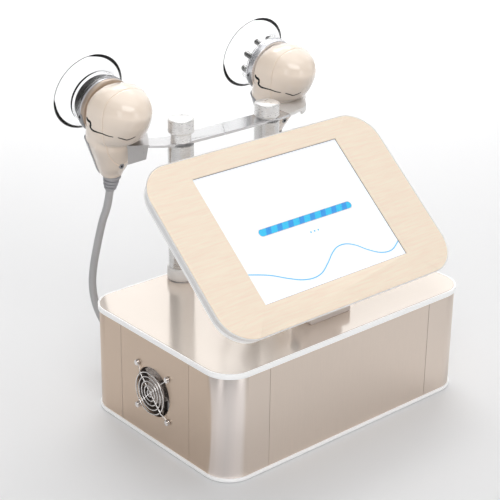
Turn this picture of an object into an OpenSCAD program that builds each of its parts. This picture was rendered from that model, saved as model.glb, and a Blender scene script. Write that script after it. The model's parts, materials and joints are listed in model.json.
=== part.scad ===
// Desktop body-contouring unit: a rounded box with a tilting screen, a two-pole
// stand with a flat crossbar, and two cup-ended handpieces hanging in its cradles.
// Millimetres, +Z up. The origin is at the middle of the footprint, on the surface
// that the feet stand on.

/* [Housing] */
// Width of the housing walls, left to right
base_w = 345.4; // [340:0.2:350]
// Depth of the housing walls, front to back
base_d = 230.2; // [226:0.2:234]
// Radius of the housing's upright corners
base_r = 29.4; // [24:0.2:34]
// Height of the bottom of the walls above the ground
wall_z0 = 5.2; // [4.8:0.1:5.6]
// Height of the top of the walls above the ground
wall_z1 = 118.8; // [116:0.2:122]
// Thickness of the wall panels
wall_t = 2.5; // [2:0.1:3]
// How far the white rims stand out from the walls
rim_out = 1.6; // [1.2:0.1:2]
// Height of the top rim
rim_h = 5.5; // [5:0.1:6]

/* [Fan] */
// Height of the fan's axis above the ground
fan_z = 60.8; // [55:0.2:66]
// Distance between neighbouring fan screws
fan_pitch = 50; // [48:0.5:52]

/* [Stand] */
// Diameter of the poles
pole_dia = 28.4; // [26:0.2:30]
// Height of the underside of the crossbar
bar_z0 = 281.9; // [276:0.1:286]
// Thickness of the crossbar
bar_t = 3; // [2.5:0.1:3.5]
// Width of the straight part of the crossbar
bar_w = 27; // [24:0.5:28]
// Height of the clamp knobs
knob_h = 16; // [14:0.5:18]

/* [Screen] */
// Angle between the screen and the ground
tilt = 40.2; // [38:0.1:42]
// Width of the screen's face
face_w = 320.2; // [312:0.2:324]
// Height of the screen's face, along its slope
face_h = 205.3; // [200:0.1:208]
// Thickness of the screen unit
tab_t = 15; // [14.5:0.1:15.5]
// Slope of the screen unit's sides, from its front in towards its back
tab_draft = 0.28; // [0.2:0.01:0.32]
// Width of the display window
win_w = 202; // [196:0.5:206]
// Height of the display window
win_h = 152.6; // [148:0.2:155]

/* [Handpieces] */
// Backward lean of the handpieces
lean = 13; // [12.5:0.1:13.5]
// Radius of the cup's open rim
cup_r = 43.4; // [42:0.2:44]
// Distance from the middle of the head to the cup's rim
cup_y = 58; // [57:0.2:59]
// Thickness of the plastic shells
shell_t = 2.5; // [2:0.1:2.8]

/* [Hose] */
// Diameter of the hose
hose_dia = 8.8; // [8.6:0.1:9]

/* [Hidden] */
$fn = 64;
// the housing's middle lies this far in front of the origin
base_y = -44.3;
hw = base_w / 2;
hd = base_d / 2;
rim_z1 = wall_z1 + rim_h;
plate_z0 = rim_z1 - 2.5;
pole_r = pole_dia / 2;
pole_pts = [[-59, 97.5], [65, 99.5]];
bar_z1 = bar_z0 + bar_t;
fan_y = 2;
fan_x = -hw + wall_t + 0.2;
hinge_y = -60;
hinge_z = 156;
tab_y = -113.4;
tab_z = 154.9;
frame_w = face_w + 3.2;
frame_h = face_h + 3.2;
frame_r = 37.5;
win_y = 29.5;
// middles of the two handpieces' heads
hp_l = [-112.3, 134.5, 314.2];
hp_r = [125.7, 139, 314];
hose_r = hose_dia / 2;
sock_z = 26;
sock_x = [64, 100];
// middle of the wound hose, and the mean radius of its turns
coil_c = [-20, 190];
coil_r = 48.5;
// centre line of the hose from the handpiece down to the winding
route_a = [[-112.3, 155.3, 224.2], [-112.3, 157.9, 212.9], [-112.3, 163, 198.3],
  [-112.3, 170, 184], [-112.3, 177, 165.5], [-112.3, 183, 147.5],
  [-112.3, 188.2, 131], [-112.3, 192.2, 115], [-112.2, 194.6, 99],
  [-111.6, 193.6, 82], [-109.8, 189.5, 66], [-106, 183.5, 51],
  [-100, 176.5, 37.5], [-91, 169, 25.5], [-79, 161.5, 15.5],
  [-65, 154, 8.6], [-50, 147.8, 5.2], [-36, 143.5, 4.4]];
// centre line of the hose from the winding to its plug
route_b = [[30, 176, 13.2], [34, 190, 11.5], [38, 204, 9], [46, 217, 7.4], [58, 225.5, 7],
  [72, 226.5, 8], [85, 220.5, 10.8], [94, 209, 15], [98.6, 194, 19.6],
  [100, 178, 23.6], [100, 164, 25.7], [100, 152, 26]];

module rig() translate([0, base_y, 0]) children();
// placing of the screen unit: its origin is the middle of the face's lower edge
module on_tablet() rig() translate([0, tab_y, tab_z]) rotate([tilt, 0, 0]) children();
// placing of a handpiece: +Y is the cup's axis, -Z runs down the handle
module hand(s) rig() translate(s < 0 ? hp_l : hp_r) rotate([lean, 0, 0]) children();

module rrect(w, d, r) {
  square([w - 2 * r, d], center = true);
  square([w, d - 2 * r], center = true);
  for (sx = [-1, 1], sy = [-1, 1]) translate([sx * (w / 2 - r), sy * (d / 2 - r)]) circle(r, $fn = 96);
}
module slab(w, d, r, z0, z1) translate([0, 0, z0]) linear_extrude(z1 - z0) rrect(w, d, r);
module ring(w, d, r, t, z0, z1) translate([0, 0, z0]) linear_extrude(z1 - z0)
  difference() { rrect(w, d, r); rrect(w - 2 * t, d - 2 * t, r - t); }
module box(a, b) translate(a) cube(b - a);
// cylinders along X and along Y from one coordinate to another
module xcyl(x0, x1, y, z, r) translate([x0, y, z]) rotate([0, 90, 0]) cylinder(h = x1 - x0, r = r);
module ycyl(x, y0, y1, z, r) translate([x, y0, z]) rotate([-90, 0, 0]) cylinder(h = y1 - y0, r = r);

// ---------------------------------------------------------------- housing
module walls() ring(base_w, base_d, base_r, wall_t, wall_z0, wall_z1);
seam_x = 114.9;
seam_y = 57;
seam_gap = 0.2;
foot_pts = [for (sx = [-1, 1], sy = [-1, 1]) [sx * 138, sy * 84]];

module rubber_feet() rig() color([0.12, 0.12, 0.13]) for (p = foot_pts) translate([p[0], p[1], 0]) {
  cylinder(h = 1.5, r = 12);
  cylinder(h = 5, r = 3);
}
module bottom_tray() rig() color([0.93, 0.92, 0.92]) difference() {
  union() {
    slab(base_w + 2 * rim_out, base_d + 2 * rim_out, base_r + rim_out, 1.5, wall_z0);
    ring(base_w - 2 * wall_t - 0.4, base_d - 2 * wall_t - 0.4, base_r - wall_t - 0.2, 3, wall_z0, wall_z0 + 7);
  }
  for (p = foot_pts) translate([p[0], p[1], 0]) cylinder(h = 8, r = 3.1);
  for (i = [-4:4]) box([60 + i * 8, -30, 0], [63 + i * 8, 30, 8]);
}
module front_panel() rig() color([0.78, 0.72, 0.67])
  box([-seam_x + seam_gap, -hd, wall_z0], [seam_x - seam_gap, -hd + wall_t, wall_z1]);
module rear_panel() rig() color([0.78, 0.72, 0.67]) difference() {
  box([-seam_x + seam_gap, hd - wall_t, wall_z0], [seam_x - seam_gap, hd, wall_z1]);
  box([-106, hd - 5, 42], [-52, hd + 5, 70]);
  for (x = sock_x) ycyl(x, hd - 5, hd + 5, sock_z, 8.2);
  for (i = [0:11]) box([-38 + i * 7, hd - 5, 78], [-35 + i * 7, hd + 5, 104]);
}
module left_panel() rig() color([0.72, 0.65, 0.59]) difference() {
  box([-hw, -seam_y + seam_gap, wall_z0], [-hw + wall_t, seam_y - seam_gap, wall_z1]);
  xcyl(-hw - 1, -hw + 5, fan_y, fan_z, 27.4);
  for (a = [-1, 1], b = [-1, 1]) xcyl(-hw - 1, -hw + 5, fan_y + a * fan_pitch / 2, fan_z + b * fan_pitch / 2, 1.8);
}
module right_panel() rig() color([0.72, 0.65, 0.59])
  box([hw - wall_t, -seam_y + seam_gap, wall_z0], [hw, seam_y - seam_gap, wall_z1]);
module corner_panels() rig() color([0.75, 0.69, 0.63]) difference() {
  walls();
  box([-seam_x - seam_gap, -hd - 5, 0], [seam_x + seam_gap, hd + 5, 130]);
  box([-hw - 5, -seam_y - seam_gap, 0], [hw + 5, seam_y + seam_gap, 130]);
}
module top_rim() rig() color([0.95, 0.95, 0.95]) {
  difference() {
    slab(base_w + 2 * rim_out, base_d + 2 * rim_out, base_r + rim_out, wall_z1, rim_z1);
    slab(base_w - 1, base_d - 1, base_r - 0.5, plate_z0, rim_z1 + 1);
    slab(base_w - 9, base_d - 9, base_r - 4.5, wall_z1 - 1, rim_z1);
  }
  ring(base_w - 2 * wall_t - 0.4, base_d - 2 * wall_t - 0.4, base_r - wall_t - 0.2, 2, wall_z1 - 5, wall_z1);
}
module top_plate() rig() color([0.80, 0.74, 0.68]) difference() {
  slab(base_w - 1.8, base_d - 1.8, base_r - 0.9, plate_z0, rim_z1);
  for (p = pole_pts) translate([p[0], p[1], plate_z0 - 1]) cylinder(h = 5, r = 4.2);
  for (x = [-20, 20], y = [-74, -52]) translate([x, y, plate_z0 - 1]) cylinder(h = 5, r = 2.2);
}

// ---------------------------------------------------------------- fan
module fan_frame() rig() color([0.10, 0.10, 0.11]) difference() {
  union() {
    difference() {
      box([fan_x, fan_y - 30, fan_z - 30], [fan_x + 15, fan_y + 30, fan_z + 30]);
      xcyl(fan_x - 1, fan_x + 16, fan_y, fan_z, 28);
    }
    xcyl(fan_x + 12.5, fan_x + 15, fan_y, fan_z, 15);
    box([fan_x + 12.5, fan_y - 29, fan_z - 1.5], [fan_x + 15, fan_y + 29, fan_z + 1.5]);
    box([fan_x + 12.5, fan_y - 1.5, fan_z - 29], [fan_x + 15, fan_y + 1.5, fan_z + 29]);
  }
  for (a = [-1, 1], b = [-1, 1]) xcyl(fan_x - 1, fan_x + 16, fan_y + a * fan_pitch / 2, fan_z + b * fan_pitch / 2, 1.8);
  xcyl(fan_x + 11, fan_x + 16, fan_y, fan_z, 1.5);
}
module fan_rotor() rig() color([0.14, 0.14, 0.15]) translate([fan_x, fan_y, fan_z]) {
  xcyl(1, 11, 0, 0, 14);
  xcyl(10, 15, 0, 0, 1.45);
  for (i = [0:6]) rotate([i * 360 / 7, 0, 0]) translate([6, 19, 0]) rotate([0, 40, 0]) cube([1.2, 14, 11], center = true);
}
module guard_ring(r) translate([-hw - 4.7, fan_y, fan_z]) rotate([0, 90, 0]) rotate_extrude($fn = 64) translate([r, 0]) circle(0.65, $fn = 16);
// a wire between two points given as [out of the wall, away from the fan's axis]
module wire(p, q) translate([-hw - p[0], 0, p[1]]) rotate([0, -atan2(q[0] - p[0], q[1] - p[1]), 0])
  translate([0, 0, -0.3]) cylinder(h = norm(q - p) + 0.6, r = 0.65, $fn = 16);
module fan_guard() rig() color([0.80, 0.80, 0.82]) {
  for (r = [3.6, 8.5, 13.4, 18.3, 23.2]) guard_ring(r);
  for (a = [45, 135]) translate([0, fan_y, fan_z]) rotate([a, 0, 0]) wire([3.7, -24.4], [3.7, 24.4]);
  for (a = [45:90:315]) translate([0, fan_y, fan_z]) rotate([a, 0, 0]) wire([3.7, 24.4], [0.8, fan_pitch / sqrt(2) - 2.5]);
  for (a = [-1, 1], b = [-1, 1]) translate([-hw - 0.8, fan_y + a * fan_pitch / 2, fan_z + b * fan_pitch / 2])
    rotate([0, 90, 0]) rotate_extrude($fn = 32) translate([2.6, 0]) circle(0.65, $fn = 16);
}
module fan_screws() rig() color([0.85, 0.85, 0.86]) for (a = [-1, 1], b = [-1, 1])
  translate([-hw - 1.55, fan_y + a * fan_pitch / 2, fan_z + b * fan_pitch / 2]) {
    xcyl(0, 15.6, 0, 0, 1.7);
    xcyl(-1.2, 0, 0, 0, 3.1);
    xcyl(-1.9, -1.2, 0, 0, 2.2);
  }

// ---------------------------------------------------------------- inside the housing
module posts(pts, z1) for (p = pts) translate([p[0], p[1], wall_z0]) cylinder(h = z1 - wall_z0, r = 3);
module power_supply() rig() color([0.62, 0.63, 0.65]) {
  box([-146, -92, wall_z0], [-56, -38, 42]);
  box([-150, -92, wall_z0], [-146, -38, 6.7]);
  box([-56, -86, 14], [-48, -44, 26]);
}
module generator_board() rig() color([0.08, 0.36, 0.20]) {
  posts([[-30, -88], [46, -88], [-30, -22], [46, -22]], 14);
  box([-36, -94, 14], [52, -16, 15.6]);
  for (p = [[-16, -76], [4, -76], [-16, -48]]) translate([p[0], p[1], 15.6]) cylinder(h = 18, r = 7);
  translate([28, -62, 15.6]) difference() { cylinder(h = 12, r = 15); translate([0, 0, -1]) cylinder(h = 14, r = 8); }
  for (i = [0:5]) box([-30 + i * 8, -34, 15.6], [-27 + i * 8, -20, 38]);
}
module control_board() rig() color([0.10, 0.30, 0.48]) {
  posts([[76, -88], [150, -88], [76, -42], [150, -42]], 14);
  box([70, -94, 14], [156, -36, 15.6]);
  box([100, -78, 15.6], [122, -56, 18.4]);
  box([130, -84, 15.6], [146, -64, 17.6]);
  for (i = [0:3]) box([76 + i * 12, -46, 15.6], [85 + i * 12, -38, 24]);
}
module vacuum_pump() rig() color([0.30, 0.31, 0.33]) {
  box([-20, 50, wall_z0], [56, 84, 8]);
  box([-14, 52, 8], [-10, 82, 34]);
  box([22, 52, 8], [50, 82, 46]);
  xcyl(-36, 22, 67, 34, 15);
  for (y = [60, 74]) xcyl(50, 60, y, 38, 3);
}
module power_inlet() rig() color([0.09, 0.09, 0.10]) difference() {
  union() {
    box([-110, hd, 39], [-48, hd + 2.2, 73]);
    box([-105.5, hd - 34, 42.5], [-52.5, hd, 69.5]);
    for (x = [-98, -91, -84]) box([x - 1, hd - 16, 52], [x + 1, hd - 6, 56]);
  }
  difference() {
    box([-103, hd - 15, 47.5], [-79, hd + 5, 64.5]);
    for (x = [-98, -91, -84]) box([x - 1, hd - 16, x == -91 ? 57 : 51], [x + 1, hd - 3, x == -91 ? 61 : 55]);
  }
  box([-71, hd - 24, 45.3], [-58, hd + 5, 66.7]);
}
module power_switch() rig() color([0.06, 0.06, 0.07]) translate([-64.5, hd - 7, 56]) rotate([8, 0, 0])
  {
    rotate([90, 0, 90]) translate([0, 0, -6]) linear_extrude(12)
      polygon([[-6, -5], [6, -8.4], [11, -8.6], [9, 0], [11, 8.6], [6, 8.4], [-6, 5]]);
    // stubs it rocks on
    xcyl(-6.4, 6.4, 0, 0, 2);
  }
module hose_sockets() rig() color([0.70, 0.70, 0.72]) for (x = sock_x) difference() {
  union() { ycyl(x, hd - 18, hd, sock_z, 8); ycyl(x, hd, hd + 3, sock_z, 12); }
  ycyl(x, hd - 12, hd + 4, sock_z, 6);
}

// ---------------------------------------------------------------- stand
module poles() rig() color([0.72, 0.71, 0.70]) for (p = pole_pts) translate([p[0], p[1], rim_z1 + 0.9]) difference() {
  cylinder(h = bar_z0 - rim_z1 - 0.9, r = pole_r, $fn = 96);
  translate([0, 0, -1]) cylinder(h = 200, r = 4.2);
}
module pole_collars() rig() color([0.75, 0.74, 0.73]) for (p = pole_pts) translate([p[0], p[1], rim_z1 + 1])
  rotate_extrude($fn = 96) polygon([[pole_r + 0.05, 0], [14.9, 0], [16.1, 1.5], [16.1, 12.4], [14.6, 14.4], [pole_r + 0.05, 14.4]]);
module clamp_studs() rig() color([0.66, 0.66, 0.67]) for (i = [0, 1]) translate([pole_pts[i][0], pole_pts[i][1], 0]) {
  translate([0, 0, plate_z0 - 9]) cylinder(h = (i == 0 ? 306 : 298) - plate_z0 + 9, r = 4);
  translate([0, 0, plate_z0 - 7]) cylinder(h = 7, r = 7.5, $fn = 6);
  translate([0, 0, rim_z1]) cylinder(h = 0.9, r = 15);
}
bar_yf = 88.5;
bar_yr = bar_yf + bar_w;
module bar(pts) translate([0, 0, bar_z0]) linear_extrude(bar_t) polygon(pts);
module crossbar_left() rig() color([0.86, 0.86, 0.87]) difference() {
  bar([[-5, bar_yf], [-60, bar_yf + 1], [-71, 92.3], [-78, 95.2], [-85.5, 99.8], [-94.7, 107.2],
    [-80.7, 126], [-70.6, 119.5], [-58.5, bar_yr], [13, bar_yr]]);
  translate([pole_pts[0][0], pole_pts[0][1], bar_z0 - 1]) cylinder(h = bar_t + 2, r = 4.2);
}
module crossbar_right() rig() color([0.86, 0.86, 0.87]) difference() {
  bar([[-4.7, bar_yf], [80, bar_yf + 0.5], [93, 91.8], [93, 119.5], [80, bar_yr + 0.6], [13.3, bar_yr]]);
  translate([pole_pts[1][0], pole_pts[1][1], bar_z0 - 1]) cylinder(h = bar_t + 2, r = 4.2);
}
// the eye of a cradle: wider behind than in front, like the handle's section there
function eye(cx, cy, a, f, b) = [for (i = [0:47]) let (t = i * 7.5)
  sin(t) < 0 ? [cx + a * cos(t), cy + f * sin(t)] : [cx + a * sign(cos(t)) * pow(abs(cos(t)), 2 / 3), cy + b * pow(sin(t), 2 / 3)]];
module cradle_left() rig() color([0.62, 0.60, 0.59]) {
  difference() {
    bar([[-94.9, 107.3], [-113, 120], [-115, 123.5], [-112, 127], [-112, 175], [-119, 177.5], [-119, 186], [-112, 189],
      [-98, 188], [-83, 181], [-74, 170], [-71, 154], [-72, 140], [-80.9, 126.1]]);
    translate([0, 0, bar_z0 - 1]) linear_extrude(bar_t + 2) polygon(eye(-112.3, 141.6, 30.3, 21.2, 32.6));
  }
  // flange that hangs from the front edge
  translate([-94.9, 107.3, 0]) rotate([0, 0, 145]) rotate([90, 0, 0]) linear_extrude(1.6)
    polygon([[0.3, bar_z0 + 0.5], [21.9, bar_z0 + 0.5], [21.9, 263.5], [2.5, 269.3]]);
}
module cradle_right() rig() color([0.70, 0.67, 0.64]) {
  difference() {
    bar([[93.2, 91.9], [107, 95.4], [119, 98.8], [127, 103], [133, 108.4], [139.5, 116.5], [143.4, 122.5], [148, 126.2],
      [153.4, 130.6], [158.6, 137], [161.8, 145], [162.8, 156], [161, 168.5], [155.5, 179.5], [146.5, 186.6], [134, 189.4],
      [126, 188.8], [123.4, 185], [125.5, 178], [125.5, 140], [98, 137.4], [93.6, 134.8], [91.6, 129.6], [93.2, 119.3]]);
    translate([0, 0, bar_z0 - 1]) linear_extrude(bar_t + 2) polygon(eye(125.7, 146.1, 30.3, 21.6, 32.6));
  }
  // short lip under the front edge
  translate([0, 0, bar_z0 - 4.5]) linear_extrude(4.5)
    polygon([[118, 98.6], [119, 98.8], [127, 103], [133, 108.4], [139.5, 116.5], [137.6, 117.8], [131.4, 110], [125.6, 104.9], [117.4, 100.6]]);
}
module knob_body(h0, h1, rn) rotate_extrude($fn = 96) polygon([[4.06, 0], [rn, 0], [rn, h0], [12.6, h0],
  [14.2, h0 + 1.6], [14.2, h1 - 1.6], [12.6, h1], [0, h1], [0, h1 - 3], [4.06, h1 - 3]]);
module knob_left() rig() color([0.80, 0.79, 0.78]) translate([pole_pts[0][0], pole_pts[0][1], bar_z1 + 0.1])
  knob_body(9.5, 9.5 + knob_h, 11.2);
module knob_right() rig() color([0.80, 0.79, 0.78]) translate([pole_pts[1][0], pole_pts[1][1], bar_z1 + 0.1])
  knob_body(1.5, 1.5 + knob_h, 11.2);

// ---------------------------------------------------------------- screen unit
mid_y = face_h / 2;
module tslab(w, h, r, z0, z1) translate([0, mid_y, 0]) slab(w, h, r, z0, z1);
module window(z0, z1, e = 0) box([-win_w / 2 - e, win_y - e, z0], [win_w / 2 + e, win_y + win_h + e, z1]);
// a layer of the case, whose sides slope in towards the back
function case_w(z) = frame_w + 2 * tab_draft * z;
function case_h(z) = frame_h + 2 * tab_draft * z;
module case_layer(z0, z1) translate([0, mid_y, z1]) rotate([180, 0, 0])
  linear_extrude(z1 - z0, slices = 1, scale = [case_w(z0) / case_w(z1), case_h(z0) / case_h(z1)])
    rrect(case_w(z1), case_h(z1), frame_r * case_w(z1) / frame_w);
module tablet_frame() on_tablet() color([0.97, 0.97, 0.97]) difference() {
  case_layer(-2.4, 0);
  tslab(face_w + 0.3, face_h + 0.3, 36, -1.6, 1);
  tslab(face_w - 12, face_h - 12, 30, -4, 1);
}
module tablet_face() on_tablet() color([0.99, 0.93, 0.85]) difference() {
  tslab(face_w, face_h, 35.9, -1.5, 0);
  window(-2, 1);
}
module touch_glass() on_tablet() color([0.96, 0.98, 1.0]) window(-2.7, -1.55, 4);
module lcd_panel() on_tablet() color([0.90, 0.92, 0.95]) window(-8, -2.75, 6);
module tablet_band() on_tablet() color([0.72, 0.72, 0.76]) difference() {
  case_layer(-11.2, -2.4);
  tslab(frame_w - 14, frame_h - 14, frame_r - 7, -12, -2);
}
module tablet_back() on_tablet() color([0.96, 0.96, 0.96]) difference() {
  tslab(case_w(-12.8), case_h(-12.8), frame_r - 3, -tab_t, -11.2);
  tslab(frame_w - 16, frame_h - 16, frame_r - 8, -tab_t + 2.5, -10);
}
module tablet_board() on_tablet() color([0.08, 0.34, 0.22]) {
  box([-70, 70, -10.8], [50, 150, -9.4]);
  box([-30, 95, -9.4], [0, 125, -8.2]);
  for (x = [-66, 46], y = [74, 146]) translate([x, y, -12.5]) cylinder(h = 1.7, r = 2.5);
}
hb_y = (hinge_y - tab_y) * cos(tilt) + (hinge_z - tab_z) * sin(tilt);
hb_z = -(hinge_y - tab_y) * sin(tilt) + (hinge_z - tab_z) * cos(tilt);
module hinge_bracket() on_tablet() color([0.78, 0.72, 0.70]) difference() {
  union() {
    box([-34, hb_y - 20, -tab_t - 3], [34, hb_y + 40, -tab_t]);
    box([-18, hb_y - 8, hb_z], [18, hb_y + 8, -tab_t - 3]);
    xcyl(-18, 18, hb_y, hb_z, 8);
  }
  xcyl(-20, 20, hb_y, hb_z, 4.06);
}
module hinge_base() rig() color([0.83, 0.77, 0.74]) difference() {
  union() {
    box([-29, -81, rim_z1], [29, -45, 140]);
    for (s = [-1, 1]) {
      box([s < 0 ? -29 : 19.5, hinge_y - 9, 140], [s < 0 ? -19.5 : 29, hinge_y + 9, hinge_z]);
      xcyl(s < 0 ? -29 : 19.5, s < 0 ? -19.5 : 29, hinge_y, hinge_z, 9);
    }
  }
  xcyl(-30, 30, hinge_y, hinge_z, 4.02);
}
module hinge_shaft() rig() color([0.6, 0.6, 0.61]) {
  xcyl(-31, 31, hinge_y, hinge_z, 4);
  for (s = [-1, 1]) xcyl(s < 0 ? -32 : 29, s < 0 ? -29 : 32, hinge_y, hinge_z, 6);
}

// ---------------------------------------------------------------- handpieces
// clear cup: a straight neck on the nose ring, a step, and a bell out to the rim
module cup(s) hand(s) color([0.93, 0.96, 0.98, 0.35]) rotate([-90, 0, 0]) rotate_extrude($fn = 96) polygon([
  [29.8, 28], [31.6, 28], [31.6, 33], [30.4, 35], [30.2, 44], [33, 49], [38, 53.4], [42.4, 56], [cup_r, 57], [cup_r, cup_y],
  [41.8, cup_y], [37, 55.4], [31.6, 51], [28.2, 46], [27.8, 44], [27.8, 33], [29.8, 31]]);
module cup_left() cup(-1);
module cup_right() cup(1);
module transducer() hand(-1) color([0.30, 0.29, 0.29]) rotate([-90, 0, 0]) {
  rotate_extrude($fn = 96) polygon([[0, 30], [25, 30], [26, 31], [26, 41], [25, 42], [0, 42]]);
  cylinder(h = 31, r = 9);
  translate([0, 0, -14]) cylinder(h = 14, r = 15);
}
module electrode_head() hand(1) color([0.70, 0.70, 0.72]) rotate([-90, 0, 0]) {
  translate([0, 0, 30]) cylinder(h = 3, r = 27);
  cylinder(h = 31, r = 9);
  for (i = [0:7]) rotate([0, 0, i * 45 + 22]) translate([23.4, 0, 32.5]) {
    cylinder(h = 11.6, r = 3.4);
    translate([0, 0, 11.5]) cylinder(h = 1.6, r1 = 3.4, r2 = 2.7);
    translate([0, 0, 13]) cylinder(h = 1.2, r1 = 2.7, r2 = 1.2);
  }
}
module nose_ring(s, c) hand(s) color(c) rotate([-90, 0, 0]) rotate_extrude($fn = 96)
  polygon([[26.9, 21.4], [31, 21.4], [31.2, 23.5], [30.8, 27.9], [29.7, 27.9], [29.7, 30.9], [27.9, 32.8], [27.3, 32.8], [27.3, 29.9], [26.9, 29.9]]);
module nose_ring_left() nose_ring(-1, [0.66, 0.58, 0.50]);
module nose_ring_right() nose_ring(1, [0.75, 0.74, 0.74]);

// sections of the body from the top of the head to the neck:
// [height, half width, reach to the front, reach to the back, squareness behind]
body_rows = [[36.5, 4.3, 5, 1.2, 2], [34, 13, 19.5, 9, 2], [29.5, 22.6, 31.6, 18.5, 2.2], [22, 27.8, 38, 21.2, 3.4],
  [14, 29.6, 39.8, 21.2, 6], [5, 30.2, 38.8, 21.2, 9], [-5, 30.1, 36, 21.2, 9], [-11, 29.8, 33.2, 21.2, 7], [-15, 29.5, 29.8, 21.2, 5],
  [-15.2, 29.5, 29.6, 30.8, 3.6], [-18.6, 29.2, 25.6, 31, 3.3], [-22, 28.9, 21.6, 31, 3.1], [-24.6, 28.7, 20.3, 31, 3],
  [-32.4, 28, 19.2, 31, 3], [-38, 26.4, 18.2, 27.6, 3], [-46, 23.3, 16.4, 24, 3], [-55, 19.5, 14.3, 19.7, 3], [-62, 16.7, 12, 17.2, 3],
  [-67, 14.6, 9.6, 15, 3], [-70.5, 13, 8.8, 12.8, 2.6], [-72, 12, 8.6, 11, 2.3]];
// the same for the hollow, which stops short of the neck, before the wall is taken off
inner_rows = [[31.5, 13, 19.5, 9, 2], [27.5, 22.6, 31.6, 18.5, 2.2], [20.5, 27.8, 38, 21.2, 3.4], [13, 29.6, 39.8, 21.2, 6],
  [5, 30.2, 38.8, 21.2, 9], [-5, 30.1, 36, 21.2, 9], [-9, 29.9, 33.6, 21.2, 7], [-14, 29.6, 28.6, 21.2, 5], [-18, 29.2, 23.6, 21.2, 4],
  [-21, 28.8, 20.4, 21.2, 3.5], [-34, 27.8, 19.2, 21.2, 3], [-34.8, 27.4, 19, 29.6, 3], [-46, 23.2, 16.4, 23.8, 3],
  [-55, 19.4, 14.2, 19.6, 3], [-62, 16.6, 12, 17, 3], [-66, 14.8, 10.2, 15, 3]];
// the raised grey panel that wraps the back of the handle
panel_rows = [[-32.6, 28.6, 18, 34.2, 3], [-38, 27, 17, 30.8, 3], [-46, 23.9, 15, 27.1, 3], [-55, 20.1, 13, 22.8, 3],
  [-62, 17.3, 11, 20.3, 3], [-67, 15.2, 9, 18.1, 3], [-71, 13.4, 8, 15.6, 3]];
nb = 36;
function bsec(r, w) = [for (i = [0:nb - 1]) let (t = 360 * i / nb, c = cos(t), s = sin(t),
    a = max(r[1] - w, 0.5), f = max(r[2] - w, 0.5), b = max(r[3] - w, 0.5))
  s < 0 ? [a * c, f * s, r[0]] : [a * sign(c) * pow(abs(c), 2 / r[4]), b * pow(abs(s), 2 / r[4]), r[0]]];
// a lofted solid: slices hulled in pairs
module slice(r, w) translate([0, 0, r[0] - 0.01]) linear_extrude(0.02) polygon([for (p = bsec(r, w)) [p[0], p[1]]]);
module loft(rows, w) for (k = [0:len(rows) - 2]) hull() { slice(rows[k], w); slice(rows[k + 1], w); }
module body_solid() loft(body_rows, 0);
module body_hollow() loft(inner_rows, shell_t);
seal_rows = [for (r = body_rows) if (r[0] < 6 && r[0] > -15) r];
module seal_slab() difference() {
  translate([-50, -50, -9.6]) cube([100, 64, 1.2]);
  loft(seal_rows, 1.0);
}
// its front edge runs down both sides of the handle
module panel_shape() intersection() {
  difference() {
    loft(panel_rows, 0);
    loft([for (r = body_rows) if (r[0] < -31) r], -0.05);
  }
  rotate([90, 0, 90]) translate([0, 0, -40]) linear_extrude(80) polygon([[11, -32], [10, -38], [9, -46], [8, -55], [7, -62],
    [6, -67], [5.4, -72], [40, -72], [40, -32]]);
}
// the back of the handle rises round the nose ring and the cup's neck
module shells() difference() { body_solid(); body_hollow(); seal_slab(); rotate([-90, 0, 0]) cylinder(h = 30, r = 26.8);
  translate([0, 21.3, 0]) rotate([-90, 0, 0]) cylinder(h = 14, r = 32);
  translate([0, 0, -76]) cylinder(h = 12, r = 4.6); }
// the joint between the rear shell and the front cover leans forward at its foot
module head_shell(s) hand(s) color([0.95, 0.89, 0.83]) intersection() { shells();
  translate([0, -10.7, 0]) rotate([-4.6, 0, 0]) translate([-60, 0, -90]) cube([120, 70, 140]); }
module front_cover(s) hand(s) color([0.95, 0.89, 0.83]) intersection() { shells();
  translate([0, -10.85, 0]) rotate([-4.6, 0, 0]) translate([-60, -70, -90]) cube([120, 70, 140]); }
module head_shell_left() head_shell(-1);
module head_shell_right() head_shell(1);
module front_cover_left() front_cover(-1);
module front_cover_right() front_cover(1);
module seam_seal(s) hand(s) color([0.05, 0.05, 0.05]) intersection() { loft(seal_rows, 0.2); seal_slab(); }
module seam_seal_left() seam_seal(-1);
module seam_seal_right() seam_seal(1);
module grip_panel_left() hand(-1) color([0.60, 0.61, 0.63]) panel_shape();
module grip_panel_right() hand(1) color([0.60, 0.61, 0.63]) panel_shape();
module neck_ring(s) hand(s) color([0.58, 0.58, 0.60]) rotate_extrude()
  polygon([[4.5, -75], [9.4, -75], [10.2, -74.2], [10.2, -72.8], [9.4, -72.05], [4.5, -72.05]]);
module neck_ring_left() neck_ring(-1);
module neck_ring_right() neck_ring(1);
module strain_relief() hand(-1) color([0.55, 0.55, 0.57]) rotate_extrude()
  polygon([[0, -92], [5.2, -92], [5.8, -89], [5.2, -88], [7, -87.4], [7.4, -84.4], [6, -83.6], [6, -82.6], [8, -82], [8.6, -79],
    [7, -78], [7, -77], [8.8, -76.2], [8.8, -75.05], [4, -75.05], [4, -73], [0, -73]]);

// ---------------------------------------------------------------- hose
function unit(v) = v / norm(v);
function tang(p, i) = unit(p[min(i + 1, len(p) - 1)] - p[max(i - 1, 0)]);
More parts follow.
